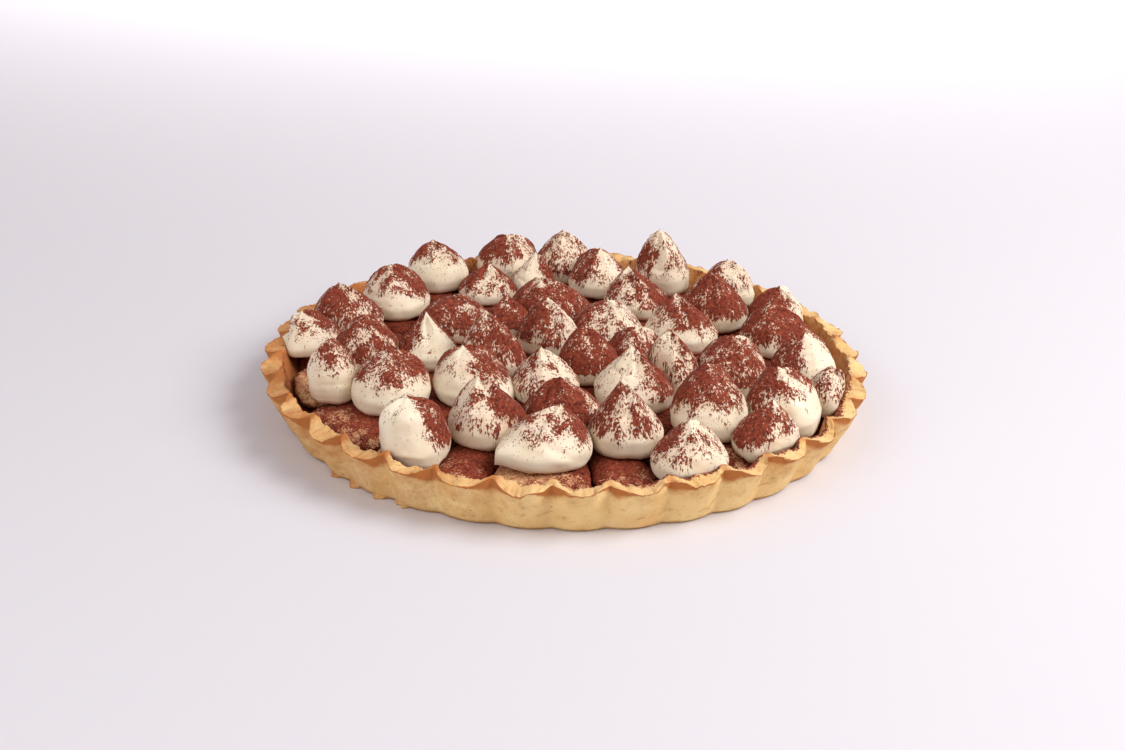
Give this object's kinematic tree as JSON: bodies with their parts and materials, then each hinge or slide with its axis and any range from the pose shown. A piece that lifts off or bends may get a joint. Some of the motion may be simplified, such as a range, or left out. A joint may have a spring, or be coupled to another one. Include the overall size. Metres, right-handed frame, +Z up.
{
  "type": "tiramisu tart",
  "caption": "Round fluted shortcrust tart with sponge fingers and filling under piped cream dollops dusted with cocoa, shown whole.",
  "frame": {"origin": "centre of the flat underside of the crust", "axes": "+Z up through the tart, -Y towards the side that the reference view faces, +X to the right of that view"},
  "size_m": [0.2737, 0.2736, 0.0493],
  "materials": {
    "pastry": "baked shortcrust pastry, dry and matt, browned at the rim",
    "sponge": "sponge finger, porous and matt, dusted with cocoa",
    "filling": "cream filling under a matt layer of cocoa powder",
    "cream": "piped mascarpone cream, satin, dusted with cocoa"
  },
  "bodies": {
    "root": {"crust": "pastry", "filling": "filling", "finger_01": "sponge", "finger_02": "sponge", "finger_03": "sponge", "finger_04": "sponge", "finger_05": "sponge", "finger_06": "sponge", "finger_07": "sponge", "finger_08": "sponge", "finger_09": "sponge", "finger_10": "sponge", "finger_11": "sponge", "finger_12": "sponge", "finger_13": "sponge", "dollop_01": "cream", "dollop_02": "cream", "dollop_03": "cream", "dollop_04": "cream", "dollop_05": "cream", "dollop_06": "cream", "dollop_07": "cream", "dollop_08": "cream", "dollop_09": "cream", "dollop_10": "cream", "dollop_11": "cream", "dollop_12": "cream", "dollop_13": "cream", "dollop_14": "cream", "dollop_15": "cream", "dollop_16": "cream", "dollop_17": "cream", "dollop_18": "cream", "dollop_19": "cream", "dollop_20": "cream", "dollop_21": "cream", "dollop_22": "cream", "dollop_23": "cream", "dollop_24": "cream", "dollop_25": "cream", "dollop_26": "cream", "dollop_27": "cream", "dollop_28": "cream", "dollop_29": "cream", "dollop_30": "cream", "dollop_31": "cream", "dollop_32": "cream", "dollop_33": "cream", "dollop_34": "cream", "dollop_35": "cream", "dollop_36": "cream", "dollop_37": "cream", "dollop_38": "cream", "dollop_39": "cream", "dollop_40": "cream", "dollop_41": "cream", "dollop_42": "cream", "dollop_43": "cream", "dollop_44": "cream"}
  },
  "joints": []
}
